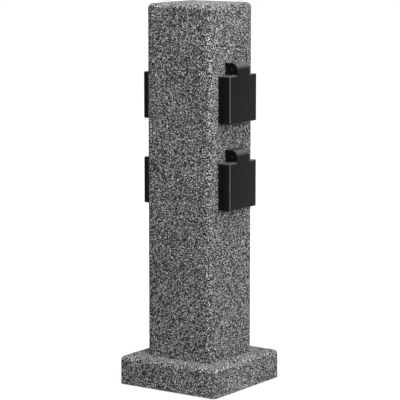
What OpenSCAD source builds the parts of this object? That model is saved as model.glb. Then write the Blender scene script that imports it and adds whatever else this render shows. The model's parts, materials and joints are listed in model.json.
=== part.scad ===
// Garden socket post: a stone-look column on a square plinth, with two covered sockets on each of
// two opposite sides. Millimetres, +Z up, origin on the ground at the middle of the post.
// Socket units are drawn in their own frame: X runs out of the column's face, which is at X = 0,
// Y runs along the face and Z is up from the middle of the unit.

/* [Post] */
// Height from the underside of the plinth to the top of the column
post_h = 414; // [400:1:470]
// Width of the square column
column_w = 82; // [76:1:96]
// Wall of the column
column_wall = 8; // [7:0.5:9]
// Thickness of the column's closed top
column_top_t = 8; // [6:0.5:14]
// Radius of the column's upright and top edges
column_edge_r = 5; // [2:0.5:7]
// Radius in the corners of the column's cavity
cavity_edge_r = 3; // [1:0.5:5]
// Side of the screw posts in the cavity's lower corners
corner_post_w = 6; // [5:0.5:8]
// Height of those screw posts
corner_post_h = 45; // [30:1:60]

/* [Plinth] */
// Width of the square plinth
plinth_w = 126; // [116:1:150]
// Height of the plinth
plinth_h = 31; // [28:1:45]
// Radius of the plinth's upright and top edges
plinth_edge_r = 5; // [2:0.5:7]
// Thickness of the plinth's floor, on which the column stands
plinth_floor_t = 4; // [3.5:0.5:6]
// Width of the skirt round the base plate
plinth_skirt_t = 4.5; // [3.5:0.5:5]
// Width of the opening in the plinth's floor
plinth_opening_w = 54; // [52:1:56]
// Gap all round between the column and the plinth
column_fit = 0.3; // [0.2:0.1:0.8]

/* [Base] */
// Thickness of the base plate
plate_t = 3; // [3:0.5:4]
// Gap all round between the base plate and the skirt
plate_fit = 0.5; // [0.3:0.1:1]
// Thickness of the base and column gaskets
gasket_t = 1; // [0.8:0.1:1.5]
// Width of the base gasket's opening
base_gasket_opening_w = 60; // [58:1:62]
// How far inside the middle of the plinth's rim the plate screws and inserts stand
rim_shift = 2; // [1:0.5:3]
// Distance from the base plate's edge to the rubber feet
foot_inset = 2; // [1:0.5:4]
// Distance from the middle of a side to the anchor inserts
anchor_offset = 25; // [18:1:32]
// Bore of the anchor inserts, the core of an M6 thread
anchor_bore_r = 2.5; // [2:0.1:3]
// Outer radius of the anchor inserts
anchor_r = 4; // [3.8:0.1:4.5]
// Length of the anchor inserts
anchor_l = 16; // [12:1:20]
// Radius of the rubber feet
foot_r = 6; // [5:0.5:7]
// Height of the rubber feet
foot_h = 3; // [2.5:0.5:3]
// How far the feet stand below the plinth
foot_proud = 1; // [0.6:0.1:1.5]
// Length of the column and plate screws
long_screw_l = 16; // [12:1:22]

/* [Socket units] */
// Distance from the top of the post to the middle of the upper units
unit_drop = 100; // [80:1:120]
// Distance between the middles of the upper and lower units
unit_pitch = 92.8; // [88:0.2:110]
// Width and height of the square covers and flanges
cover_w = 50.6; // [46:0.2:56]
// How far the covers stand out of the column's face
cover_proud = 15.5; // [15:0.1:18]
// Thickness of the flange gaskets
flange_gasket_t = 1; // [0.8:0.1:1.2]
// Thickness of the flanges
flange_t = 2.5; // [2.2:0.1:2.8]
// Corner radius of the flanges
flange_corner_r = 1.5; // [0.8:0.1:3]
// Seam between the flange and the lid
lid_gap = 0.5; // [0.4:0.1:0.8]
// Side walls of the lid
lid_wall = 1.8; // [1.5:0.1:2]
// Front wall of the lid
lid_front_t = 2; // [1.6:0.1:2.4]
// Radius of the lid's outer edges
lid_edge_r = 1.2; // [0.6:0.1:1.5]
// Thickness of the lid seal
seal_t = 1.8; // [1.4:0.1:2.2]
// Gap between the lid seal and the rim of the well
rim_gap = 0.3; // [0.3:0.1:0.5]
// Distance from the edge of the cover to the bore of the plug well
well_inset = 5.8; // [5.7:0.1:6.2]
// Depth of the plug well
well_depth = 17.5; // [17:0.1:18]
// Wall of the plug well
well_wall = 2.15; // [1.8:0.05:2.2]
// Thickness of the well's floor
well_floor_t = 3; // [2.5:0.1:3.5]
// Gap all round between the well and its hole in the column
well_fit = 0.35; // [0.2:0.05:0.6]
// Wall of the skirt round the contact carrier
skirt_wall = 1.5; // [1.2:0.1:1.8]
// How far the skirt reaches over the contact carrier
skirt_overlap = 3.3; // [2:0.1:6]
// Distance from the edge of the flange to the screws in its corners
flange_screw_inset = 5.8; // [5.4:0.1:6]

/* [Lid hinge] */
// Width of the hinge tongue on top of the lid
tongue_w = 23.4; // [18:0.2:26]
// Width of the sloping webs between the sides of the tongue and the top of the lid
tongue_web_w = 0.9; // [0.4:0.1:1.5]
// Radius of the tongue round the hinge pin
tongue_r = 6.8; // [6.6:0.1:7]
// Height of the hinge pin above the top of the lid
hinge_rise = 6.2; // [6:0.1:6.6]
// Gap round the tongue where it turns past the fixed block
turn_gap = 0.3; // [0.3:0.05:0.4]
// How far the fixed block reaches over the tongue, out of the column's face
block_reach = 5.4; // [4.6:0.1:5.6]
// Radius of the hinge pin
hinge_pin_r = 1.25; // [1:0.05:1.4]
// Clearance of the pin in the lid's two cheeks
pin_fit = 0.05; // [0.02:0.01:0.08]
// Radius of the fixed ears
ear_r = 5; // [4.6:0.1:5.1]
// Thickness of each fixed ear
ear_t = 1.7; // [1.4:0.1:2]
// Distance between the two ears
ear_gap = 6.4; // [6.2:0.1:7]
// Gap between each ear and the lid's cheek
cheek_gap = 0.35; // [0.3:0.05:0.5]
// How far the lid swings up, in degrees
lid_swing = 100; // [80:1:100]

/* [Springs] */
// Radius of the lid spring's wire
lid_wire_r = 0.3; // [0.2:0.05:0.35]
// Radius of the lid spring's coil, at the middle of the wire
lid_coil_r = 2.3; // [2:0.1:2.5]
// Turns of the lid spring
lid_coil_turns = 5; // [3:1:5]
// Distance from turn to turn of the lid spring
lid_coil_pitch = 1.05; // [1:0.01:1.1]
// Radius of the shutter spring's wire
shutter_wire_r = 0.2; // [0.15:0.05:0.25]
// Radius of the shutter spring's coil, at the middle of the wire
shutter_coil_r = 4; // [3.8:0.1:4.2]
// Distance from turn to turn of the shutter spring
shutter_coil_pitch = 0.85; // [0.8:0.05:0.9]

/* [Contacts] */
// Distance from the middle of the well to each pin contact
pin_pitch = 9.5; // [9.3:0.1:9.7]
// Radius of the pin holes in the well's floor
pin_hole_r = 3; // [2.7:0.1:3.1]
// Bore of the contact sleeves
sleeve_bore_r = 2.45; // [2.4:0.05:2.6]
// Wall of the contact sleeves
sleeve_wall = 1.1; // [0.8:0.1:1.2]
// Length of the contact sleeves
sleeve_l = 10.8; // [9:0.1:11.5]
// Half width of the wire clamps
clamp_half_w = 3.6; // [3.4:0.1:3.8]
// Half height of the wire clamps
clamp_half_h = 3; // [2.6:0.1:3.4]
// Depth of the wire clamps
clamp_l = 3.5; // [3:0.1:4]
// Gap all round the carrier and its parts
carrier_fit = 0.15; // [0.1:0.05:0.2]
// Depth of the chamber for the shutter, behind the well's floor
chamber_l = 3.3; // [3.2:0.1:3.6]
// Thickness of the shutter
shutter_t = 2.4; // [2.2:0.1:2.5]
// Clearance of the shutter round its boss
shutter_fit = 0.05; // [0.02:0.01:0.08]
// How far the shutter turns, in degrees
shutter_swing = 42; // [41:1:44]
// Half angle of the shutter's two wings, in degrees
shutter_half_angle = 21; // [20:0.5:21.5]
// Width of the earth strap
strap_w = 6; // [5:0.5:7]
// Thickness of the earth strap
strap_t = 1; // [0.8:0.1:1]
// How far each earth clip reaches into the well
clip_reach = 1.2; // [0.8:0.1:1.6]
// Gap beside the earth strap in its slots
strap_side_gap = 1.2; // [0.8:0.1:1.6]

/* [Wiring] */
// Radius of the insulated wires
wire_r = 1.4; // [1.2:0.05:1.5]
// Straight length of the earth wires between their bends and their clamps
wire_lead_in = 0.5; // [0.2:0.1:2]
// Distance from the middle of the post to the upright wires
riser_x = 2.5; // [2:0.1:2.5]
// Distance from wire to wire where two share a clamp
wire_pair_pitch = 3.4; // [3.3:0.1:3.6]
// How far a wire reaches into its clamp
wire_grip = 2; // [1.5:0.1:2.2]
// Clearance round a wire in its clamp
wire_fit = 0.05; // [0.03:0.01:0.1]
// Width of the terminal block, along the row of poles
block_w = 34; // [33:0.5:38]
// Depth of the terminal block
block_d = 24; // [22:0.5:28]
// Height of the terminal block
block_h = 18; // [16:0.5:24]
// Length of each mounting ear on the terminal block
block_ear_l = 8; // [7:0.5:8.5]

/* [Cable gland] */
// Height of the gland's axis above the ground
gland_z = 52; // [50:1:70]
// Radius of the gland's thread, M16
gland_thread_r = 7.9; // [7.5:0.1:8]
// Width across the flats of the gland's nuts
gland_flats = 20; // [19:0.5:22]
// Bore of the gland's seal, for a round cable
gland_bore_r = 4.6; // [4.2:0.1:5]
// How far the gland's dome stands out of the column
gland_proud = 20; // [19:0.5:21]

/* [Hidden] */

// Facets of large and small round parts, and of a wire's cross-section
big_fn = 96;
small_fn = 48;
wire_sides = 6;
rings_per_turn = 8;
// Overlap that carries a cut clear of a face
cut = 1;

// Heights of the base's layers
plate_z = foot_proud;
base_gasket_z = plate_z + plate_t;
floor_z = base_gasket_z + gasket_t;
column_gasket_z = floor_z + plinth_floor_t;
column_z = column_gasket_z + gasket_t;
post_top = foot_proud + post_h;

// Widths and pitches that follow from the driving ones
cavity_w = column_w - 2 * column_wall;
plinth_socket_w = column_w + 2 * column_fit;
plate_room_w = plinth_w - 2 * plinth_skirt_t;
plate_w = plate_room_w - 2 * plate_fit;
rim_pitch = (plinth_w + column_w) / 4 - rim_shift;
foot_pitch = plate_w / 2 - foot_r - foot_inset;
column_screw_pitch = (column_w + plinth_opening_w) / 4;

// Screws: shank, head and recess
screw_r = 1.5;
screw_head_r = 2.9;
screw_head_t = 2;
long_screw_r = 1.75;
long_head_r = 3.5;
screw_fit = 0.05;
screw_hole_fit = 0.15;
recess_w = 0.8;
recess_depth = 1;
flange_screw_l = 10;
screw_end_gap = 0.5;
foot_taper = 0.5;
anchor_end_t = 2;

// How far the gaskets stay back from the edges of what they seal
gasket_inset = 0.5;
gasket_opening_inset = 1;

// Places of the socket units
right = 0;
left = 180;
upper_z = post_top - unit_drop;
lower_z = upper_z - unit_pitch;

// Stations along the unit's X, from the column's face
flange_back = flange_gasket_t;
flange_front = flange_back + flange_t;
lid_back = flange_front + lid_gap;
lid_front = cover_proud;
lid_inner = lid_front - lid_front_t;
seal_back = lid_inner - seal_t;
rim_x = seal_back - rim_gap;
well_floor_x = rim_x - well_depth;
floor_back_x = well_floor_x - well_floor_t;
carrier_front_x = floor_back_x - chamber_l;
sleeve_inset = 0.5;
clamp_front_x = carrier_front_x - sleeve_inset - sleeve_l;
carrier_back_x = clamp_front_x - clamp_l;
strap_back_x = carrier_back_x - strap_t;
earth_clamp_back_x = strap_back_x - clamp_l;
skirt_back_x = carrier_front_x - skirt_overlap;

// Sizes of the well, the carrier behind it and the lid's inside
well_r = cover_w / 2 - well_inset;
flange_screw_pitch = cover_w / 2 - flange_screw_inset;
collar_r = well_r + well_wall;
column_hole_r = collar_r + well_fit;
skirt_bore_r = collar_r - skirt_wall;
carrier_r = skirt_bore_r - carrier_fit;
lid_room_w = cover_w - 2 * lid_wall;
seal_lap = 0.5;
seal_inner_r = well_r - seal_lap;
seal_outer_r = collar_r + seal_lap;

// Screw in the middle of the well's floor
centre_screw_l = 12;
centre_head_r = 2.8;
centre_head_t = 1.6;
centre_head_sink = 0.1;

// Ribs that key the plug in the well
rib_t = 1.5;
rib_half_h = 1.1;
rib_inset = 2;
rib_grip = 0.1;

// Hinge axis, and the angles that the lid's middle skin covers, from straight out of the face
hinge_x = lid_front - tongue_r;
hinge_z = cover_w / 2 + hinge_rise;
turn_r = tongue_r + turn_gap;
block_back = 0.2;
ear_outer = ear_gap / 2 + ear_t;
skin_inner_r = ear_r + turn_gap;
skin_from = -50;
skin_to = 210 - lid_swing;
web_angle = 213;
web_back_x = -2.6;
web_neck = [-1.5, -4.5];
ear_notch = 3;
pin_inset = 0.4;
lid_leg_in = 3.4;
lid_leg_out = 4.1;
lid_coil_start = 290;

// Shutter: boss, hub and wings
boss_r = 3;
hub_r = 6.2;
hub_t = 1.1;
wing_lap = 1.5;
wing_r = pin_pitch + pin_hole_r + wing_lap;
shutter_end_gap = 0.4;
shutter_front_x = floor_back_x - shutter_end_gap;
spring_room_gap = 0.5;
spring_room_r = shutter_coil_r + shutter_wire_r + spring_room_gap;

// Earth strap: its arms run just outside the carrier
arm_gap = 0.1;
arm_z = carrier_r + arm_gap;
slot_inset = 3;
slot_front_x = rim_x - slot_inset;
slot_half_w = strap_w / 2 + strap_side_gap;
clip_inset = 8.5;
clip_x = rim_x - clip_inset;
clip_half_l = 3.7;
clip_foot = 0.5;
clip_crest = [0.7, 0.3];

// Terminal block and wires
poles_y = [pin_pitch, 0, -pin_pitch];
block_z = base_gasket_z;
block_ear_t = 3;
block_screw_y = block_w / 2 + block_ear_l / 2;
wire_depth_in_block = 12;
wire_end_gap = 0.5;
wire_hole_r = wire_r + wire_fit;
wire_bend_r = column_w / 2 + earth_clamp_back_x - wire_lead_in - riser_x;
terminal_screw_drop = 7;
terminal_screw_z = block_z + block_h - terminal_screw_drop;
terminal_head_r = 2.3;
riser_foot_z = block_z + block_h - wire_depth_in_block + wire_end_gap;

// Cable gland, along Y from the column's rear face
gland_washer_t = 1;
gland_hex_r = gland_flats / 2 / cos(30);
gland_hex_t = 5;
gland_nut_t = 5;
gland_thread_end = 1;
gland_inner_l = column_wall + gland_nut_t + gland_thread_end;
gland_body_front = gland_washer_t + gland_hex_t;
gland_barrel_wall = 1.6;
gland_seal_r = gland_thread_r - gland_barrel_wall;
gland_nut_gap = 0.6;
gland_nut_back = gland_body_front + gland_nut_gap;
gland_dome_r = 5;
gland_nut_front = gland_proud - gland_dome_r;
gland_shoulder_t = 1;
gland_seal_inset = 1.5;
gland_seal_back = gland_body_front + gland_seal_inset;
gland_barrel_gap = 1.2;
gland_barrel_front = gland_nut_front - gland_barrel_gap;
gland_mouth_step = 0.5;
gland_mouth_r = gland_bore_r + gland_mouth_step;
gland_wall_fit = 0.2;

// Colours
granite = "#6b6b6b";
black_plastic = "#262626";
dark_rubber = "#1a1a1a";
pale_plastic = "#d8d4c8";
grey_plastic = "#3a3a3c";
steel = "#b4b6b8";
brass = "#c8a252";

// Flat outlines

module rounded_rect(w, d, r) {
    square([w, d - 2 * r], center = true);
    square([w - 2 * r, d], center = true);
    for (x = [-1, 1], y = [-1, 1])
        translate([x * (w / 2 - r), y * (d / 2 - r)]) circle(r, $fn = small_fn);
}

module quarter_disc(r) {
    intersection() {
        circle(r, $fn = small_fn);
        square(r);
    }
}

// Solids used in many places

// A square block whose upright and top edges are rounded alike
module soft_block(w, h, r) {
    linear_extrude(h - r) rounded_rect(w, w, r);
    translate([0, 0, h - r]) {
        linear_extrude(r) square(w - 2 * r, center = true);
        for (turn = [0 : 90 : 270]) rotate([0, 0, turn]) {
            translate([w / 2 - r, w / 2 - r, 0]) rotate([90, 0, 0])
                linear_extrude(w - 2 * r) quarter_disc(r);
            translate([w / 2 - r, w / 2 - r, 0]) rotate_extrude(angle = 90, $fn = small_fn) quarter_disc(r);
        }
    }
}

module square_plate(w, r, z0, z1) {
    translate([0, 0, z0]) linear_extrude(z1 - z0) rounded_rect(w, w, r);
}

// A rod along X, from x0 to x1, at y and z
module x_rod(x0, x1, r, y = 0, z = 0) {
    translate([x0, y, z]) rotate([0, 90, 0]) cylinder(h = x1 - x0, r = r, $fn = r > 6 ? big_fn : small_fn);
}

// A rod along Y, from y0 to y1, at x and z
module y_rod(y0, y1, r, x = 0, z = 0) {
    translate([x, y0, z]) rotate([-90, 0, 0]) cylinder(h = y1 - y0, r = r, $fn = r > 6 ? big_fn : small_fn);
}

// A box from x0 to x1, centred in Y, from z0 to z1
module x_box(x0, x1, w, z0, z1, y = 0) {
    translate([x0, y - w / 2, z0]) cube([x1 - x0, w, z1 - z0]);
}

// A square plate that lies against the column's face
module face_plate(w, r, x0, x1) {
    translate([x0, 0, 0]) rotate([90, 0, 90]) linear_extrude(x1 - x0) rounded_rect(w, w, r);
}

// An outline in the unit's X and Z, drawn across the width w
module side_profile(w) {
    translate([0, w / 2, 0]) rotate([90, 0, 0]) linear_extrude(w) children();
}

// A cross recess in the end of a screw head at z = 0, cut downwards
module cross_recess(r) {
    for (turn = [0, 90]) rotate([0, 0, turn])
        translate([-r, -recess_w / 2, -recess_depth]) cube([2 * r, recess_w, recess_depth + cut]);
}

// A screw whose head's top is at z = 0: pan heads stand on the face below them
module pan_screw(r, head_r, head_t, l) {
    difference() {
        union() {
            translate([0, 0, -head_t]) cylinder(h = head_t, r = head_r, $fn = small_fn);
            translate([0, 0, -head_t - l]) cylinder(h = l, r = r, $fn = small_fn);
        }
        cross_recess(head_r * 0.6);
    }
}

// A countersunk screw with its face at z = 0
module flush_screw(r, head_r, l) {
    difference() {
        union() {
            translate([0, 0, r - head_r]) cylinder(h = head_r - r, r1 = r, r2 = head_r, $fn = small_fn);
            translate([0, 0, -l]) cylinder(h = l, r = r, $fn = small_fn);
        }
        cross_recess(head_r * 0.6);
    }
}

// The room that a countersunk screw takes up
module flush_screw_hole(r, head_r, l, gap) {
    translate([0, 0, r - head_r]) cylinder(h = head_r - r, r1 = r + gap, r2 = head_r + gap, $fn = small_fn);
    translate([0, 0, -l]) cylinder(h = l + cut, r = r + gap, $fn = small_fn);
    cylinder(h = cut, r = head_r + gap, $fn = small_fn);
}

// Wound springs: one wire swept along its own points

function unit_vector(v) = v / norm(v);

// Points of a coil round Y, with a straight leg off each end
function coil_path(r, pitch, turns, leg_in, leg_out, start) =
    let (n = turns * rings_per_turn, first = -pitch * turns / 2)
    let (at = function (i) let (a = start + 360 * i / rings_per_turn)
        [r * cos(a), first + pitch * i / rings_per_turn, r * sin(a)])
    let (along = function (i) let (a = start + 360 * i / rings_per_turn) [-sin(a), 0, cos(a)])
    concat(leg_in > 0 ? [at(0) - leg_in * along(0)] : [],
        [for (i = [0 : n]) at(i)],
        leg_out > 0 ? [at(n) + leg_out * along(n)] : []);

module wire_sweep(path, r) {
    last = len(path) - 1;
    tangents = [for (i = [0 : last]) unit_vector(path[min(i + 1, last)] - path[max(i - 1, 0)])];
    rings = [for (i = [0 : last])
        let (side = unit_vector(cross(tangents[i], [0, 1, 0])), up = cross(side, tangents[i]))
        for (k = [0 : wire_sides - 1])
            path[i] + r * (cos(360 * k / wire_sides) * side + sin(360 * k / wire_sides) * up)];
    walls = [for (i = [0 : last - 1], k = [0 : wire_sides - 1])
        let (a = i * wire_sides + k, b = i * wire_sides + (k + 1) % wire_sides)
        each [[a, b, a + wire_sides], [b, b + wire_sides, a + wire_sides]]];
    ends = [for (k = [1 : wire_sides - 2]) each [[0, k + 1, k],
        [last * wire_sides, last * wire_sides + k, last * wire_sides + k + 1]]];
    polyhedron(points = rings, faces = concat(walls, ends));
}

// Places

module at_unit(z, side) {
    rotate([0, 0, side]) translate([column_w / 2, 0, z]) children();
}

module at_all_units() {
    for (z = [upper_z, lower_z], side = [right, left]) at_unit(z, side) children();
}

module at_corners(pitch) {
    for (x = [-1, 1], y = [-1, 1]) translate([x * pitch, y * pitch, 0]) children();
}

module at_flange_screws() {
    for (y = [-1, 1], z = [-1, 1])
        translate([0, y * flange_screw_pitch, z * flange_screw_pitch]) children();
}

module at_plate_screws() {
    for (turn = [0 : 90 : 270]) rotate([0, 0, turn]) translate([rim_pitch, 0, 0]) children();
}

module at_anchors() {
    for (x = [-1, 1], y = [-1, 1]) translate([x * rim_pitch, y * anchor_offset, 0]) children();
}

module at_gland() {
    translate([0, column_w / 2, gland_z]) children();
}

// Post and base

module column_shell() {
    color(granite) difference() {
        union() {
            difference() {
                translate([0, 0, column_z]) soft_block(column_w, post_top - column_z, column_edge_r);
                square_plate(cavity_w, cavity_edge_r, column_z - cut, post_top - column_top_t);
            }
            at_corners(cavity_w / 2 - corner_post_w / 2 + cut / 2) translate([0, 0, column_z])
                linear_extrude(corner_post_h) square(corner_post_w + cut, center = true);
        }
        at_all_units() {
            x_rod(-column_wall - cut, cut, column_hole_r);
            at_flange_screws() x_rod(-column_wall + screw_end_gap, cut, screw_r + screw_fit);
        }
        at_gland() y_rod(-column_wall - cut, cut, gland_thread_r + gland_wall_fit);
        at_corners(column_screw_pitch) translate([0, 0, column_z - cut])
            cylinder(h = long_screw_l + cut, r = long_screw_r + screw_fit, $fn = small_fn);
    }
}

module plinth() {
    color(granite) difference() {
        translate([0, 0, plate_z]) soft_block(plinth_w, plinth_h, plinth_edge_r);
        square_plate(plinth_socket_w, column_edge_r + column_fit, column_gasket_z,
            foot_proud + plinth_h + cut);
        square_plate(plinth_opening_w, cavity_edge_r, floor_z - cut, column_gasket_z + cut);
        square_plate(plate_room_w, flange_corner_r, plate_z - cut, floor_z);
        at_corners(column_screw_pitch) translate([0, 0, floor_z]) rotate([180, 0, 0])
            flush_screw_hole(long_screw_r, long_head_r, plinth_floor_t + cut, screw_hole_fit);
        at_plate_screws() translate([0, 0, floor_z - cut])
            cylinder(h = long_screw_l, r = long_screw_r + screw_fit, $fn = small_fn);
        at_anchors() translate([0, 0, floor_z - cut])
            cylinder(h = anchor_l + plate_z - floor_z + cut, r = anchor_r + screw_fit, $fn = small_fn);
    }
}

module column_gasket() {
    color(dark_rubber) difference() {
        square_plate(column_w - 2 * gasket_inset, column_edge_r, column_gasket_z, column_z);
        square_plate(plinth_opening_w + 2 * gasket_opening_inset, cavity_edge_r,
            column_gasket_z - cut, column_z + cut);
        at_corners(column_screw_pitch) translate([0, 0, column_gasket_z - cut])
            cylinder(h = gasket_t + 2 * cut, r = long_screw_r + screw_hole_fit, $fn = small_fn);
    }
}

module base_plate() {
    color(steel) difference() {
        square_plate(plate_w, flange_corner_r, plate_z, base_gasket_z);
        at_plate_screws() translate([0, 0, plate_z]) rotate([180, 0, 0])
            flush_screw_hole(long_screw_r, long_head_r, plate_t + cut, screw_hole_fit);
        at_anchors() translate([0, 0, plate_z - cut])
            cylinder(h = plate_t + 2 * cut, r = anchor_r + screw_hole_fit, $fn = small_fn);
        at_corners(foot_pitch) translate([0, 0, plate_z - cut])
            cylinder(h = foot_h - foot_proud + cut, r = foot_r + screw_hole_fit, $fn = small_fn);
        for (y = [-1, 1]) translate([0, y * block_screw_y, plate_z - cut])
            cylinder(h = plate_t + 2 * cut, r = screw_r + screw_fit, $fn = small_fn);
    }
}

module base_gasket() {
    color(dark_rubber) difference() {
        square_plate(plate_w - 2 * gasket_inset, flange_corner_r, base_gasket_z, floor_z);
        square_plate(base_gasket_opening_w, cavity_edge_r, base_gasket_z - cut, floor_z + cut);
        at_plate_screws() translate([0, 0, base_gasket_z - cut])
            cylinder(h = gasket_t + 2 * cut, r = long_screw_r + screw_hole_fit, $fn = small_fn);
        at_anchors() translate([0, 0, base_gasket_z - cut])
            cylinder(h = gasket_t + 2 * cut, r = anchor_r + screw_hole_fit, $fn = small_fn);
    }
}

module rubber_feet() {
    color(dark_rubber) at_corners(foot_pitch) {
        cylinder(h = foot_taper, r1 = foot_r - foot_taper, r2 = foot_r, $fn = small_fn);
        translate([0, 0, foot_taper]) cylinder(h = foot_h - foot_taper, r = foot_r, $fn = small_fn);
    }
}

module plate_screws() {
    color(steel) at_plate_screws() translate([0, 0, plate_z]) rotate([180, 0, 0])
        flush_screw(long_screw_r, long_head_r, long_screw_l);
}

module column_screws() {
    color(steel) at_corners(column_screw_pitch) translate([0, 0, floor_z]) rotate([180, 0, 0])
        flush_screw(long_screw_r, long_head_r, long_screw_l);
}

module anchor_inserts() {
    color(brass) at_anchors() translate([0, 0, plate_z]) difference() {
        cylinder(h = anchor_l, r = anchor_r, $fn = small_fn);
        translate([0, 0, -cut])
            cylinder(h = anchor_l - anchor_end_t + cut, r = anchor_bore_r, $fn = small_fn);
    }
}

// Cable gland in the rear of the column

module hex_rod(y0, y1, r) {
    translate([0, y0, 0]) rotate([-90, 0, 0]) cylinder(h = y1 - y0, r = r, $fn = 6);
}

module gland_washer() {
    color(dark_rubber) at_gland() difference() {
        y_rod(0, gland_washer_t, gland_hex_r);
        y_rod(-cut, gland_washer_t + cut, gland_thread_r + gland_wall_fit);
    }
}

module gland_body() {
    color(black_plastic) at_gland() difference() {
        union() {
            y_rod(-gland_inner_l, gland_barrel_front, gland_thread_r);
            hex_rod(gland_washer_t, gland_body_front, gland_hex_r);
        }
        y_rod(-gland_inner_l - cut, gland_proud, gland_mouth_r);
        y_rod(gland_seal_back, gland_proud, gland_seal_r);
    }
}

module gland_seal() {
    color(dark_rubber) at_gland() difference() {
        y_rod(gland_seal_back, gland_nut_front, gland_seal_r - screw_fit);
        y_rod(gland_seal_back - cut, gland_proud, gland_bore_r);
    }
}

module gland_dome_nut() {
    nut_r = gland_flats / 2;
    color(black_plastic) at_gland() difference() {
        union() {
            hex_rod(gland_nut_back, gland_nut_front - gland_shoulder_t, gland_hex_r);
            y_rod(gland_nut_back, gland_nut_front, nut_r);
            translate([0, gland_nut_front, 0]) rotate([-90, 0, 0]) rotate_extrude($fn = big_fn)
                translate([nut_r - gland_dome_r, 0]) quarter_disc(gland_dome_r);
            y_rod(gland_nut_front, gland_proud, nut_r - gland_dome_r);
        }
        y_rod(gland_nut_back - cut, gland_nut_front, gland_thread_r + screw_fit);
        y_rod(0, gland_proud + cut, gland_mouth_r);
    }
}

module gland_locknut() {
    color(black_plastic) at_gland() difference() {
        hex_rod(-column_wall - gland_nut_t, -column_wall, gland_hex_r);
        y_rod(-column_wall - gland_nut_t - cut, -column_wall + cut, gland_thread_r + screw_fit);
    }
}

// Terminal block and wires

module terminal_block() {
    color(pale_plastic) difference() {
        union() {
            x_box(-block_d / 2, block_d / 2, block_w, block_z, block_z + block_h);
            for (y = [-1, 1]) x_box(-block_d / 4, block_d / 4, block_ear_l + cut, block_z,
                block_z + block_ear_t, y * (block_screw_y - cut / 2));
        }
        for (y = poles_y) {
            for (x = [-riser_x, riser_x])
                translate([x, y - wire_pair_pitch / 2, block_z + block_h - wire_depth_in_block])
                    cylinder(h = wire_depth_in_block + cut, r = wire_hole_r, $fn = small_fn);
            translate([0, y + wire_pair_pitch / 2, block_z + block_h - wire_depth_in_block])
                cylinder(h = wire_depth_in_block + cut, r = wire_hole_r, $fn = small_fn);
            for (side = [0, 180]) rotate([0, 0, side]) x_rod(riser_x, block_d / 2 + cut,
                screw_r + screw_fit, (side == 0 ? 1 : -1) * (y - wire_pair_pitch / 2), terminal_screw_z);
        }
        for (y = [-1, 1]) translate([0, y * block_screw_y, block_z - cut])
            cylinder(h = block_ear_t + 2 * cut, r = screw_r + screw_hole_fit, $fn = small_fn);
    }
}

module terminal_screws() {
    screw_l = block_d / 2 - riser_x - wire_hole_r - screw_fit;
    color(steel) for (side = [-1, 1], y = poles_y)
        translate([side * (block_d / 2 + screw_head_t), y - wire_pair_pitch / 2, terminal_screw_z])
            rotate([0, side * 90, 0]) pan_screw(screw_r, terminal_head_r, screw_head_t, screw_l);
}

module block_screws() {
    color(steel) for (y = [-1, 1])
        translate([0, y * block_screw_y, block_z + block_ear_t + screw_head_t])
            pan_screw(screw_r, screw_head_r, screw_head_t, block_ear_t + plate_t);
}

// A quarter bend between the upright wire and its level end
module wire_bend() {
    mirror([1, 0, 0]) rotate([90, 0, 0]) rotate_extrude(angle = 90, $fn = big_fn)
        translate([wire_bend_r, 0]) circle(wire_r, $fn = small_fn);
}

// The level end of a wire, from its bend into the clamp
module wire_end(y, z, clamp_back) {
    x_rod(riser_x + wire_bend_r, column_w / 2 + clamp_back + wire_grip, wire_r, y, z);
}

// From the terminal block up to the lower unit
module lower_lead(y, clamp_back) {
    translate([riser_x, y, riser_foot_z])
        cylinder(h = lower_z - wire_bend_r - riser_foot_z, r = wire_r, $fn = small_fn);
    translate([riser_x + wire_bend_r, y, lower_z - wire_bend_r]) wire_bend();
    wire_end(y, lower_z, clamp_back);
}

// From the lower unit up to the upper one
module upper_lead(y, clamp_back) {
    wire_end(y, lower_z, clamp_back);
    translate([riser_x + wire_bend_r, y, lower_z + wire_bend_r]) mirror([0, 0, 1]) wire_bend();
    translate([riser_x, y, lower_z + wire_bend_r])
        cylinder(h = upper_z - lower_z - 2 * wire_bend_r, r = wire_r, $fn = small_fn);
    translate([riser_x + wire_bend_r, y, upper_z - wire_bend_r]) wire_bend();
    wire_end(y, upper_z, clamp_back);
}

module wire_run(pole_y, clamp_back) {
    for (side = [0, 1]) mirror([side, 0, 0]) {
        lower_lead(pole_y - wire_pair_pitch / 2, clamp_back);
        upper_lead(pole_y + wire_pair_pitch / 2, clamp_back);
    }
}

module wire_line() {
    color("#6b3f22") wire_run(poles_y[0], carrier_back_x);
}

module wire_earth() {
    color("#7a9a2a") wire_run(poles_y[1], earth_clamp_back_x);
}

module wire_neutral() {
    color("#2f5fa8") wire_run(poles_y[2], carrier_back_x);
}

// Socket units: what the four have in common

module flange_gasket() {
    difference() {
        face_plate(cover_w - 2 * gasket_inset, flange_corner_r, 0, flange_gasket_t);
        x_rod(-cut, flange_gasket_t + cut, column_hole_r);
        at_flange_screws() x_rod(-cut, flange_gasket_t + cut, screw_r + screw_hole_fit);
    }
}

module flange_gaskets() {
    color(dark_rubber) at_all_units() flange_gasket();
}

module flange_screws() {
    color(steel) at_all_units() at_flange_screws() translate([flange_front + screw_head_t, 0, 0])
        rotate([0, 90, 0]) pan_screw(screw_r, screw_head_r, screw_head_t, flange_screw_l);
}

module centre_screws() {
    color(steel) at_all_units() translate([well_floor_x - centre_head_sink, 0, 0])
        rotate([0, 90, 0]) pan_screw(screw_r, centre_head_r, centre_head_t, centre_screw_l);
}

module shutter_springs() {
    spring_l = chamber_l - shutter_end_gap - hub_t;
    color(steel) at_all_units() translate([carrier_front_x + spring_l / 2, 0, 0]) rotate([0, 0, 90])
        wire_sweep(coil_path(shutter_coil_r, shutter_coil_pitch, 1, 0, 0, 0), shutter_wire_r);
}

// Socket front: flange, plug well, skirt behind it and the fixed half of the hinge

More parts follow.
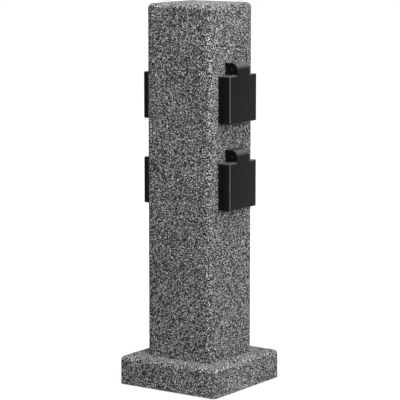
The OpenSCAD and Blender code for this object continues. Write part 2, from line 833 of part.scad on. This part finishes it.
module hinge_block() {
    difference() {
        union() {
            x_box(block_back, block_reach, tongue_w, cover_w / 2 + turn_gap, hinge_z + tongue_r);
            x_box(flange_back, flange_front, tongue_w, cover_w / 2 - cut, cover_w / 2 + 2 * turn_gap);
        }
        y_rod(-tongue_w, tongue_w, turn_r, hinge_x, hinge_z);
    }
}

// The web joins the ears to the block, below the sweep of the lid's skin
module hinge_ears() {
    web_floor = turn_gap - hinge_rise;
    translate([hinge_x, 0, hinge_z]) side_profile(2 * ear_outer) polygon([
        [block_back - hinge_x, web_floor],
        [web_back_x, web_floor],
        web_neck,
        [ear_r * cos(web_angle), ear_r * sin(web_angle)],
        [turn_r * cos(web_angle), turn_r * sin(web_angle)],
        [block_back - hinge_x, turn_r * sin(web_angle)]]);
    for (side = [0, 1]) mirror([0, side, 0]) y_rod(ear_gap / 2, ear_outer, ear_r, hinge_x, hinge_z);
}

module key_rib() {
    x_box(well_floor_x - cut / 2, rim_x - rib_inset, rib_t, -rib_half_h, rib_half_h,
        well_r - rib_t / 2 + rib_grip);
}

module socket_front() {
    color(black_plastic) {
        difference() {
            union() {
                face_plate(cover_w, flange_corner_r, flange_back, flange_front);
                x_rod(skirt_back_x, rim_x, collar_r);
                hinge_block();
                difference() {
                    hinge_ears();
                    x_box(hinge_x - ear_notch, hinge_x + ear_notch, ear_gap,
                        hinge_z - ear_notch, hinge_z + ear_notch);
                }
            }
            x_rod(well_floor_x, rim_x + cut, well_r);
            x_rod(skirt_back_x - cut, floor_back_x, skirt_bore_r);
            for (y = [-1, 1]) x_rod(floor_back_x - cut, well_floor_x + cut, pin_hole_r, y * pin_pitch);
            x_rod(floor_back_x - cut, well_floor_x + cut, screw_r + screw_hole_fit);
            x_rod(well_floor_x - centre_head_t - centre_head_sink, well_floor_x + cut, screw_head_r);
            for (side = [0, 1]) mirror([0, 0, side])
                x_box(skirt_back_x - cut, slot_front_x, 2 * slot_half_w, well_r - cut, column_hole_r);
            at_flange_screws() x_rod(0, flange_front + cut, screw_r + screw_hole_fit);
            y_rod(-tongue_w, tongue_w, hinge_pin_r, hinge_x, hinge_z);
        }
        for (side = [0, 1]) mirror([0, side, 0]) key_rib();
    }
}

// Lid: a shallow cap whose tongue turns on the hinge pin

module tongue_profile() {
    translate([hinge_x, hinge_z]) circle(tongue_r, $fn = big_fn);
    translate([hinge_x, cover_w / 2 - cut]) square([tongue_r, hinge_rise + cut]);
}

// The sloping web where one side of the tongue meets the top of the lid
module tongue_web() {
    translate([hinge_x, tongue_w / 2, cover_w / 2]) rotate([90, 0, 90])
        linear_extrude(tongue_r - lid_edge_r) polygon([[-cut, -cut], [tongue_web_w, -cut],
            [tongue_web_w, 0], [0, tongue_web_w], [-cut, tongue_web_w]]);
}

// The room in the middle of the tongue for the ears and the spring, open to the rear
module tongue_room() {
    reach = tongue_r + cut;
    floor_x = hinge_rise / tan(-skin_from);
    translate([hinge_x, 0, hinge_z]) side_profile(2 * (ear_outer + cheek_gap)) {
        circle(skin_inner_r, $fn = big_fn);
        polygon([[0, 0],
            [reach * cos(skin_to), reach * sin(skin_to)],
            [-reach, reach],
            [-reach, -hinge_rise],
            [min(floor_x, skin_inner_r), -hinge_rise]]);
    }
}

module lid() {
    color(black_plastic) difference() {
        union() {
            translate([lid_back, 0, 0]) rotate([90, 0, 90])
                soft_block(cover_w, lid_front - lid_back, lid_edge_r);
            difference() {
                union() {
                    side_profile(tongue_w) tongue_profile();
                    for (side = [0, 1]) mirror([0, side, 0]) tongue_web();
                }
                tongue_room();
            }
        }
        face_plate(lid_room_w, lid_edge_r, lid_back - cut, lid_inner);
        y_rod(-tongue_w, tongue_w, hinge_pin_r + pin_fit, hinge_x, hinge_z);
    }
}

module lid_seal() {
    color(dark_rubber) difference() {
        x_rod(seal_back, lid_inner, seal_outer_r);
        x_rod(seal_back - cut, lid_inner + cut, seal_inner_r);
    }
}

module hinge_pin() {
    color(steel) y_rod(pin_inset - tongue_w / 2, tongue_w / 2 - pin_inset, hinge_pin_r, hinge_x, hinge_z);
}

module lid_spring() {
    color(steel) translate([hinge_x, 0, hinge_z])
        wire_sweep(coil_path(lid_coil_r, lid_coil_pitch, lid_coil_turns, lid_leg_in, lid_leg_out,
            lid_coil_start), lid_wire_r);
}

// Contacts behind the well's floor

module contact_carrier() {
    color(pale_plastic) difference() {
        union() {
            x_rod(carrier_back_x, carrier_front_x, carrier_r);
            x_rod(carrier_front_x, floor_back_x, boss_r);
        }
        for (y = [-1, 1]) {
            x_rod(clamp_front_x - cut, carrier_front_x + cut,
                sleeve_bore_r + sleeve_wall + carrier_fit, y * pin_pitch);
            x_box(carrier_back_x - cut, clamp_front_x + carrier_fit, 2 * (clamp_half_w + carrier_fit),
                -clamp_half_h - carrier_fit, clamp_half_h + carrier_fit, y * pin_pitch);
        }
        x_rod(clamp_front_x, floor_back_x + cut, screw_r + screw_fit);
    }
}

// A clamp whose two wires enter from behind
module wire_clamp(back, l) {
    difference() {
        x_box(back, back + l, 2 * clamp_half_w, -clamp_half_h, clamp_half_h);
        for (y = [-1, 1])
            x_rod(back - cut, back + wire_grip + wire_fit, wire_hole_r, y * wire_pair_pitch / 2);
    }
}

module contact_sleeves() {
    color(brass) for (y = [-1, 1]) translate([0, y * pin_pitch, 0]) {
        wire_clamp(carrier_back_x, clamp_l);
        difference() {
            x_rod(clamp_front_x, clamp_front_x + sleeve_l, sleeve_bore_r + sleeve_wall);
            x_rod(clamp_front_x + cut, clamp_front_x + sleeve_l + cut, sleeve_bore_r);
        }
    }
}

// One arm of the earth strap, with the bow that meets the plug
module earth_arm_profile() {
    bow_z = well_r - clip_reach;
    polygon([[carrier_back_x - strap_t, arm_z + strap_t],
        [carrier_back_x - strap_t, arm_z],
        [clip_x - clip_half_l, arm_z],
        [clip_x - clip_crest[0], bow_z],
        [clip_x + clip_crest[0], bow_z],
        [clip_x + clip_half_l, arm_z],
        [clip_x + clip_half_l, arm_z + strap_t],
        [clip_x + clip_half_l - clip_foot, arm_z + strap_t],
        [clip_x + clip_crest[1], bow_z + strap_t],
        [clip_x - clip_crest[1], bow_z + strap_t],
        [clip_x - clip_half_l + clip_foot, arm_z + strap_t]]);
}

module earth_bracket() {
    color(brass) {
        for (side = [0, 1]) mirror([0, 0, side]) side_profile(strap_w) earth_arm_profile();
        x_box(strap_back_x, carrier_back_x, strap_w, -arm_z - strap_t, arm_z + strap_t);
        wire_clamp(earth_clamp_back_x, clamp_l);
    }
}

module shutter_wing_outline() {
    intersection() {
        circle(wing_r, $fn = big_fn);
        polygon([[0, 0], [wing_r * 2, wing_r * 2 * tan(shutter_half_angle)],
            [wing_r * 2, -wing_r * 2 * tan(shutter_half_angle)]]);
    }
}

module shutter() {
    color("#e9e6dc") difference() {
        union() {
            x_rod(shutter_front_x - hub_t, shutter_front_x, hub_r);
            translate([shutter_front_x - shutter_t, 0, 0]) rotate([90, 0, 90]) linear_extrude(shutter_t)
                for (turn = [0, 180]) rotate(turn) shutter_wing_outline();
        }
        x_rod(carrier_front_x, floor_back_x, boss_r + shutter_fit);
        x_rod(carrier_front_x, shutter_front_x - hub_t, spring_room_r);
    }
}

column_shell();
plinth();
column_gasket();
base_plate();
base_gasket();
rubber_feet();
plate_screws();
column_screws();
anchor_inserts();
gland_washer();
gland_body();
gland_seal();
gland_dome_nut();
gland_locknut();
terminal_block();
terminal_screws();
block_screws();
wire_line();
wire_neutral();
wire_earth();
flange_gaskets();
flange_screws();
centre_screws();
shutter_springs();
at_unit(upper_z, right) socket_front();  // socket_front_upper_right
at_unit(upper_z, right) lid();  // lid_upper_right
at_unit(upper_z, right) lid_seal();  // lid_seal_upper_right
at_unit(upper_z, right) hinge_pin();  // hinge_pin_upper_right
at_unit(upper_z, right) lid_spring();  // lid_spring_upper_right
at_unit(upper_z, right) contact_carrier();  // contact_carrier_upper_right
at_unit(upper_z, right) contact_sleeves();  // contact_sleeves_upper_right
at_unit(upper_z, right) earth_bracket();  // earth_bracket_upper_right
at_unit(upper_z, right) shutter();  // shutter_upper_right
at_unit(lower_z, right) socket_front();  // socket_front_lower_right
at_unit(lower_z, right) lid();  // lid_lower_right
at_unit(lower_z, right) lid_seal();  // lid_seal_lower_right
at_unit(lower_z, right) hinge_pin();  // hinge_pin_lower_right
at_unit(lower_z, right) lid_spring();  // lid_spring_lower_right
at_unit(lower_z, right) contact_carrier();  // contact_carrier_lower_right
at_unit(lower_z, right) contact_sleeves();  // contact_sleeves_lower_right
at_unit(lower_z, right) earth_bracket();  // earth_bracket_lower_right
at_unit(lower_z, right) shutter();  // shutter_lower_right
at_unit(upper_z, left) socket_front();  // socket_front_upper_left
at_unit(upper_z, left) lid();  // lid_upper_left
at_unit(upper_z, left) lid_seal();  // lid_seal_upper_left
at_unit(upper_z, left) hinge_pin();  // hinge_pin_upper_left
at_unit(upper_z, left) lid_spring();  // lid_spring_upper_left
at_unit(upper_z, left) contact_carrier();  // contact_carrier_upper_left
at_unit(upper_z, left) contact_sleeves();  // contact_sleeves_upper_left
at_unit(upper_z, left) earth_bracket();  // earth_bracket_upper_left
at_unit(upper_z, left) shutter();  // shutter_upper_left
at_unit(lower_z, left) socket_front();  // socket_front_lower_left
at_unit(lower_z, left) lid();  // lid_lower_left
at_unit(lower_z, left) lid_seal();  // lid_seal_lower_left
at_unit(lower_z, left) hinge_pin();  // hinge_pin_lower_left
at_unit(lower_z, left) lid_spring();  // lid_spring_lower_left
at_unit(lower_z, left) contact_carrier();  // contact_carrier_lower_left
at_unit(lower_z, left) contact_sleeves();  // contact_sleeves_lower_left
at_unit(lower_z, left) earth_bracket();  // earth_bracket_lower_left
at_unit(lower_z, left) shutter();  // shutter_lower_left
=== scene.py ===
"""Garden socket post: camera, light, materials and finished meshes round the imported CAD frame."""

import json
import math

import bpy
from mathutils import Matrix, Vector

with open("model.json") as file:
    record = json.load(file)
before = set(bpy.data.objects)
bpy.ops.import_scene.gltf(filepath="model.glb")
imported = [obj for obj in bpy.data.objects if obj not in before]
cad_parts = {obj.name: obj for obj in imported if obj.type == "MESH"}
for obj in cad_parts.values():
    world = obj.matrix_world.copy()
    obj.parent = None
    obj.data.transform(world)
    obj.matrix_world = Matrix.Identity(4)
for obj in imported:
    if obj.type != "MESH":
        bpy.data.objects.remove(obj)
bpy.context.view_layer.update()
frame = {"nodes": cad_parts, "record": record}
nodes = frame["nodes"]

MM = 0.001
UNITS = ("upper_right", "lower_right", "upper_left", "lower_left")

# Camera, fitted to the photo's edges: direction in degrees, sizes in metres
CAMERA_AZIMUTH = 34.795
CAMERA_ELEVATION = 8.80
CAMERA_DISTANCE = 2.2364
CAMERA_RIGHT = 0.000213
CAMERA_UP = 0.000253
CAMERA_TARGET = Vector((0, 0, 0.201))
FOCAL_PIXELS = 2060.1
PICTURE_PIXELS = 400
SENSOR_MM = 36
CLIP_START = 0.01
CLIP_END = 50

# The world's level as it is seen or mirrored, and as it lights from the backdrop and from the room
WHITE_LEVEL = 1.0
BACKDROP_LEVEL = 0.2
ROOM_LEVEL = 0.1

# Floor: half its width, its own shade, and how it glows to white away from the object, in metres
FLOOR_REACH = 6.0
FLOOR_SHADE = 0.18
FLOOR_GLOW = 0.8
GLOW_FROM = 0.25
GLOW_TO = 0.8

# The backdrop behind the object: its elevation in degrees, and the cosines between which it rises
BACKDROP_ELEVATION = 10
BACKDROP_FROM = 0.1
BACKDROP_TO = 0.9

# Lamps: azimuth and elevation in degrees, distance and size in metres, power in watts
LAMPS = {
    "key": (61, 18, 2.7, (0.8, 1.0), 63.5),
    "top": (62, 77, 2.0, (1.6, 1.6), 82.0),
    "right": (98, 9, 2.6, (1.8, 1.8), 2.5),
}

# Granite: size of the chips and of the dust between them, and each one's shares and brightness
GRAIN = 0.54 * MM
FINE_GRAIN = 0.34 * MM
CHIPS = [(0.0, 0.001), (0.62, 0.080), (0.78, 0.280), (0.905, 1.0)]
DUST = [(0.0, 0.006), (0.40, 0.100), (0.75, 0.250), (0.92, 0.90)]
DUST_SHARE = 0.1

# Painted highlight on the black plastic: its strength on top faces, as a share of that on its
# vertical corners
TOP_HIGHLIGHT = 0.8

# How much longer a metal's streaks are along Z than across
STREAK = 4.0


# Camera


def direction(azimuth, elevation):
    """From the target towards a camera or lamp; azimuth 0 looks along +Y."""
    a, e = math.radians(azimuth), math.radians(elevation)
    return Vector((math.sin(a) * math.cos(e), -math.cos(a) * math.cos(e), math.sin(e)))


def turned_towards(back):
    """A rotation whose -Z looks against back, with its X level."""
    right = Vector((0, 0, 1)).cross(back).normalized()
    up = back.cross(right)
    return Matrix((right, up, back)).transposed()


def make_camera():
    back = direction(CAMERA_AZIMUTH, CAMERA_ELEVATION)
    turn = turned_towards(back)
    place = CAMERA_TARGET + turn @ Vector((CAMERA_RIGHT, CAMERA_UP, CAMERA_DISTANCE))
    data = bpy.data.cameras.new("camera")
    data.sensor_width = SENSOR_MM
    data.lens = FOCAL_PIXELS / PICTURE_PIXELS * SENSOR_MM
    data.clip_start = CLIP_START
    data.clip_end = CLIP_END
    camera = bpy.data.objects.new("camera", data)
    camera.matrix_world = Matrix.Translation(place) @ turn.to_4x4()
    bpy.context.scene.collection.objects.link(camera)
    bpy.context.scene.camera = camera


# Materials


def shade(value):
    return (value, value, value, 1)


def scaled(colour, factor):
    return (*[factor * c for c in colour], 1)


class Graph:
    """A material's node tree, built from short calls."""

    def __init__(self, name):
        self.material = bpy.data.materials.new(name)
        self.material.use_nodes = True
        self.tree = self.material.node_tree
        self.shader = self.tree.nodes["Principled BSDF"]

    def add(self, kind, inputs=None, **settings):
        node = self.tree.nodes.new(kind)
        for key, value in settings.items():
            setattr(node, key, value)
        for key, value in (inputs or {}).items():
            self.feed(node.inputs[key], value)
        return node

    def feed(self, socket, value):
        if isinstance(value, bpy.types.NodeSocket):
            self.tree.links.new(value, socket)
        else:
            socket.default_value = value

    def place(self):
        return self.add("ShaderNodeTexCoord").outputs["Object"]

    def noise(self, size, detail=2.0, roughness=0.5, vector=None):
        inputs = {"Vector": vector or self.place(), "Scale": 1 / size}
        inputs |= {"Detail": detail, "Roughness": roughness}
        return self.add("ShaderNodeTexNoise", inputs)

    def cells(self, size, vector):
        inputs = {"Vector": vector, "Scale": 1 / size, "Randomness": 1.0}
        return self.add("ShaderNodeTexVoronoi", inputs)

    def channel(self, colour, index):
        return self.add("ShaderNodeSeparateColor", {"Color": colour}).outputs[index]

    def ramp(self, value, stops, mode="LINEAR"):
        node = self.add("ShaderNodeValToRGB", {"Fac": value})
        ramp = node.color_ramp
        ramp.interpolation = mode
        while len(ramp.elements) < len(stops):
            ramp.elements.new(0.5)
        for element, (position, colour) in zip(ramp.elements, stops):
            element.position = position
            element.color = (*colour, 1) if isinstance(colour, tuple) else shade(colour)
        return node.outputs["Color"]

    def math(self, operation, a, b=0.0):
        node = self.add("ShaderNodeMath", operation=operation)
        self.feed(node.inputs[0], a)
        self.feed(node.inputs[1], b)
        return node.outputs[0]

    def mix(self, factor, a, b, blend="MIX"):
        node = self.add("ShaderNodeMix", data_type="RGBA", blend_type=blend)
        self.feed(node.inputs["Factor"], factor)
        self.feed(node.inputs[6], a)
        self.feed(node.inputs[7], b)
        return node.outputs[2]

    def map_range(self, value, low, high, to_low, to_high):
        inputs = {"Value": value, "From Min": low, "From Max": high}
        inputs |= {"To Min": to_low, "To Max": to_high}
        return self.add("ShaderNodeMapRange", inputs).outputs[0]

    def bump(self, height, distance, strength=1.0):
        inputs = {"Height": height, "Distance": distance, "Strength": strength}
        self.feed(self.shader.inputs["Normal"], self.add("ShaderNodeBump", inputs).outputs[0])

    def set(self, base_color, roughness, specular=0.5, metallic=0.0):
        self.feed(self.shader.inputs["Base Color"], base_color)
        self.feed(self.shader.inputs["Roughness"], roughness)
        self.feed(self.shader.inputs["Specular IOR Level"], specular)
        self.feed(self.shader.inputs["Metallic"], metallic)


def granite():
    """Stone chips in resin: near-black ground with grey and white flecks under a millimetre."""
    g = Graph("granite")
    drift = g.noise(2.2 * GRAIN, 1.0)
    wobble = g.add("ShaderNodeVectorMath", operation="SCALE")
    g.feed(wobble.inputs[0], drift.outputs["Color"])
    g.feed(wobble.inputs["Scale"], 0.25 * GRAIN)
    bent = g.add("ShaderNodeVectorMath", operation="ADD")
    g.feed(bent.inputs[0], g.place())
    g.feed(bent.inputs[1], wobble.outputs[0])
    large = g.cells(GRAIN, bent.outputs[0])
    small = g.cells(FINE_GRAIN, bent.outputs[0])
    large_pick = g.channel(large.outputs["Color"], 0)
    small_pick = g.channel(small.outputs["Color"], 1)
    chips = g.ramp(large_pick, CHIPS, "CONSTANT")
    dust = g.ramp(small_pick, DUST, "CONSTANT")
    mixed = g.mix(DUST_SHARE, chips, dust)
    clouds = g.map_range(g.noise(30 * MM, 2.0).outputs["Fac"], 0.3, 0.7, 0.92, 1.08)
    g.set(base_color=g.mix(1.0, mixed, clouds, "MULTIPLY"), roughness=0.88, specular=0.02)
    pits = g.math("ADD", g.math("MULTIPLY", large.outputs["Distance"], 900.0 * GRAIN), large_pick)
    g.bump(g.math("ADD", pits, g.noise(FINE_GRAIN, 3.0).outputs["Fac"]), 0.08 * MM, 0.5)
    return g.material


def painted_highlight_mask(g):
    """Mask of a painted highlight on a skin: paler on its upward faces and on its vertical corners,
    where light would catch them, broken up by noise.
    """
    facing = g.add("ShaderNodeTexCoord").outputs["Normal"]
    normal = g.add("ShaderNodeSeparateXYZ", {"Vector": facing}).outputs
    top = g.map_range(normal[2], 0.05, 0.55, 0.0, TOP_HIGHLIGHT)
    # Painted highlight along vertical corners, where the normal lies between X and Y
    corner = g.math("ABSOLUTE", g.math("MULTIPLY", normal[0], normal[1]))
    rubbed = g.map_range(corner, 0.1, 0.4, 0.0, 1.0)
    patches = g.map_range(g.noise(3 * MM, 2.0).outputs["Fac"], 0.3, 0.7, 0.8, 1.0)
    return g.math("MULTIPLY", g.math("MAXIMUM", top, rubbed), patches)


def moulded(name, colour, roughness, grain=0.35 * MM, relief=0.012 * MM, specular=0.35, highlight_level=None):
    """Moulded plastic: a fine spark-eroded skin, with a slight change of gloss over its area."""
    g = Graph(name)
    clouds = g.noise(14 * MM, 3.0).outputs["Fac"]
    skin = g.mix(clouds, scaled(colour, 0.9), scaled(colour, 1.1))
    # When given, a pale grey is painted over upward faces and vertical corners as a painted
    # highlight.
    if highlight_level:
        skin = g.mix(painted_highlight_mask(g), skin, shade(highlight_level))
    g.set(
        base_color=skin,
        roughness=g.map_range(clouds, 0.3, 0.7, roughness - 0.04, roughness + 0.05),
        specular=specular,
    )
    g.bump(g.noise(grain, 2.0).outputs["Fac"], relief, 1.0)
    return g.material


def rubber(name, value):
    g = Graph(name)
    bloom = g.noise(6 * MM, 4.0).outputs["Fac"]
    g.set(
        base_color=g.ramp(bloom, [(0.3, 0.8 * value), (0.7, 1.4 * value)]),
        roughness=g.map_range(bloom, 0.3, 0.7, 0.72, 0.88),
        specular=0.25,
    )
    g.bump(g.noise(0.5 * MM, 2.0).outputs["Fac"], 0.02 * MM, 1.0)
    return g.material


def metal(name, colour, roughness):
    """Plated or plain metal with faint streaks along Z."""
    g = Graph(name)
    stretch = g.add("ShaderNodeMapping", {"Vector": g.place(), "Scale": (1.0, 1.0, 1 / STREAK)})
    grain = g.noise(0.8 * MM, 3.0, 0.6, stretch.outputs[0]).outputs["Fac"]
    g.set(
        base_color=g.mix(grain, scaled(colour, 0.86), scaled(colour, 1.0)),
        metallic=1.0,
        roughness=g.map_range(grain, 0.3, 0.7, roughness - 0.06, roughness + 0.08),
    )
    g.bump(grain, 0.006 * MM, 1.0)
    return g.material


def striped_wire():
    """Green insulation with a yellow stripe down two sides."""
    g = Graph("green_yellow")
    split = g.add("ShaderNodeSeparateXYZ", {"Vector": g.place()})
    wave = g.math("SINE", g.math("MULTIPLY", split.outputs[0], 2 * math.pi / (2.4 * MM)))
    band = g.ramp(wave, [(0.0, (0.03, 0.20, 0.02)), (0.5, (0.72, 0.60, 0.03))], "CONSTANT")
    g.set(base_color=band, roughness=0.45)
    return g.material


def make_materials():
    return {
        "granite": granite(),
        # Black plastic: its pale top faces and vertical corners are a painted highlight.
        "black_plastic": moulded(
            "black_plastic", (0.0042, 0.0042, 0.0044), 0.3, specular=0.06, highlight_level=0.085
        ),
        "dark_steel": metal("dark_steel", (0.05, 0.05, 0.052), 0.45),
        "gland_plastic": moulded("gland_plastic", (0.018, 0.018, 0.019), 0.5, 0.5 * MM, 0.02 * MM),
        "dark_rubber": rubber("dark_rubber", 0.018),
        "pale_plastic": moulded("pale_plastic", (0.62, 0.58, 0.48), 0.5),
        "white_plastic": moulded("white_plastic", (0.74, 0.72, 0.66), 0.4),
        "steel": metal("steel", (0.62, 0.63, 0.64), 0.34),
        "brass": metal("brass", (0.74, 0.52, 0.22), 0.32),
        "brown_sleeve": moulded("brown_sleeve", (0.14, 0.055, 0.025), 0.4),
        "blue_sleeve": moulded("blue_sleeve", (0.03, 0.12, 0.42), 0.4),
        "green_sleeve": striped_wire(),
    }


# Meshes: CAD nodes keep their shape and get small broken edges

WELD_REACH = 0.002 * MM
FLAT_ANGLE = math.radians(0.3)
EDGE_ANGLE = math.radians(35)

# Width of the broken edge on each family of pieces, in millimetres, and its segments
PLAIN_EDGE = 0.15
PLAIN_SEGMENTS = 2
EDGE = {
    "column_shell": 0.6,
    "plinth": 0.8,
    "base_plate": 0.3,
    "gland_body": 0.4,
    "gland_dome_nut": 0.4,
    "gland_locknut": 0.3,
    "terminal_block": 0.4,
    "rubber_feet": 0.3,
    "socket_front": 0.35,
    "lid": 0.5,
    "lid_seal": 0.3,
    "contact_carrier": 0.4,
    "contact_sleeves": 0.2,
    "shutter": 0.2,
}
SEGMENTS = {"column_shell": 3, "plinth": 3, "lid": 3}


def family(node):
    """A node's name without its unit."""
    for unit in UNITS:
        if node.endswith("_" + unit):
            return node[: -len(unit) - 1]
    return node


def dress_node(name, material):
    """Give one CAD node its material, clean flat faces and broken edges."""
    piece = nodes[name]
    mesh = piece.data
    mesh.materials.clear()
    mesh.materials.append(material)
    kind = family(name)
    with bpy.context.temp_override(object=piece, active_object=piece):
        bpy.ops.mesh.customdata_custom_splitnormals_clear()
    mesh.shade_smooth()
    weld = piece.modifiers.new("weld", "WELD")
    weld.merge_threshold = WELD_REACH
    flat = piece.modifiers.new("flat", "DECIMATE")
    flat.decimate_type = "DISSOLVE"
    flat.angle_limit = FLAT_ANGLE
    bevel = piece.modifiers.new("edges", "BEVEL")
    bevel.width = EDGE.get(kind, PLAIN_EDGE) * MM
    bevel.segments = SEGMENTS.get(kind, PLAIN_SEGMENTS)
    bevel.limit_method = "ANGLE"
    bevel.angle_limit = EDGE_ANGLE
    bevel.harden_normals = True
    bevel.miter_outer = "MITER_ARC"


def dress_nodes(materials):
    for part in frame["record"]["subparts"]:
        dress_node(part["node"], materials[part["material_slot"]])


# Stage


def make_floor():
    """A pale floor that keeps the object's shadow and is white where it is seen or mirrored."""
    mesh = bpy.data.meshes.new("floor")
    signs = ((-1, -1), (1, -1), (1, 1), (-1, 1))
    corners = [(x * FLOOR_REACH, y * FLOOR_REACH, 0) for x, y in signs]
    mesh.from_pydata(corners, [], [(0, 1, 2, 3)])
    floor = bpy.data.objects.new("floor", mesh)
    bpy.context.scene.collection.objects.link(floor)
    g = Graph("floor")
    g.set(base_color=shade(FLOOR_SHADE), roughness=0.9, specular=0.0)
    rays = g.add("ShaderNodeLightPath").outputs
    mirrored = g.math("MAXIMUM", rays["Is Glossy Ray"], rays["Is Transmission Ray"])
    seen = g.math("MAXIMUM", rays["Is Camera Ray"], mirrored)
    away = g.add("ShaderNodeVectorMath", {0: g.place()}, operation="LENGTH").outputs["Value"]
    level = g.math("MULTIPLY", seen, g.map_range(away, GLOW_FROM, GLOW_TO, FLOOR_GLOW, 1.0))
    glow = g.add("ShaderNodeEmission", {"Color": shade(1.0), "Strength": level})
    both = g.add("ShaderNodeAddShader")
    g.feed(both.inputs[0], g.shader.outputs[0])
    g.feed(both.inputs[1], glow.outputs[0])
    g.feed(g.tree.nodes["Material Output"].inputs["Surface"], both.outputs[0])
    mesh.materials.append(g.material)


def make_lamp(name, azimuth, elevation, distance, size, power):
    data = bpy.data.lights.new(name, "AREA")
    data.shape = "RECTANGLE"
    data.size, data.size_y = size
    data.energy = power
    lamp = bpy.data.objects.new(name, data)
    towards = direction(azimuth, elevation)
    place = Matrix.Translation(CAMERA_TARGET + distance * towards)
    lamp.matrix_world = place @ turned_towards(towards).to_4x4()
    lamp.visible_camera = False
    bpy.context.scene.collection.objects.link(lamp)


def make_world():
    """White where it is seen or mirrored, and otherwise a dim room with a brighter backdrop."""
    world = bpy.data.worlds.new("studio")
    bpy.context.scene.world = world
    world.use_nodes = True
    tree = world.node_tree
    background = tree.nodes["Background"]
    facing = tree.nodes.new("ShaderNodeVectorMath")
    facing.operation = "DOT_PRODUCT"
    tree.links.new(tree.nodes.new("ShaderNodeTexCoord").outputs["Generated"], facing.inputs[0])
    facing.inputs[1].default_value = direction(CAMERA_AZIMUTH + 180, BACKDROP_ELEVATION)
    backdrop = tree.nodes.new("ShaderNodeMapRange")
    backdrop.interpolation_type = "SMOOTHSTEP"
    backdrop.inputs["From Min"].default_value = BACKDROP_FROM
    backdrop.inputs["From Max"].default_value = BACKDROP_TO
    backdrop.inputs["To Min"].default_value = ROOM_LEVEL
    backdrop.inputs["To Max"].default_value = BACKDROP_LEVEL
    tree.links.new(facing.outputs["Value"], backdrop.inputs["Value"])
    rays = tree.nodes.new("ShaderNodeLightPath").outputs
    seen = rays["Is Camera Ray"]
    for kind in ("Is Glossy Ray", "Is Transmission Ray"):
        either = tree.nodes.new("ShaderNodeMath")
        either.operation = "MAXIMUM"
        tree.links.new(seen, either.inputs[0])
        tree.links.new(rays[kind], either.inputs[1])
        seen = either.outputs[0]
    level = tree.nodes.new("ShaderNodeMapRange")
    level.inputs["To Max"].default_value = WHITE_LEVEL
    tree.links.new(seen, level.inputs["Value"])
    tree.links.new(backdrop.outputs[0], level.inputs["To Min"])
    tree.links.new(level.outputs[0], background.inputs["Strength"])
    background.inputs["Color"].default_value = shade(1.0)


def make_lights():
    make_world()
    for name, lamp in LAMPS.items():
        make_lamp(name, *lamp)


bpy.context.scene.view_settings.view_transform = "Standard"
make_camera()
dress_nodes(make_materials())
make_floor()
make_lights()
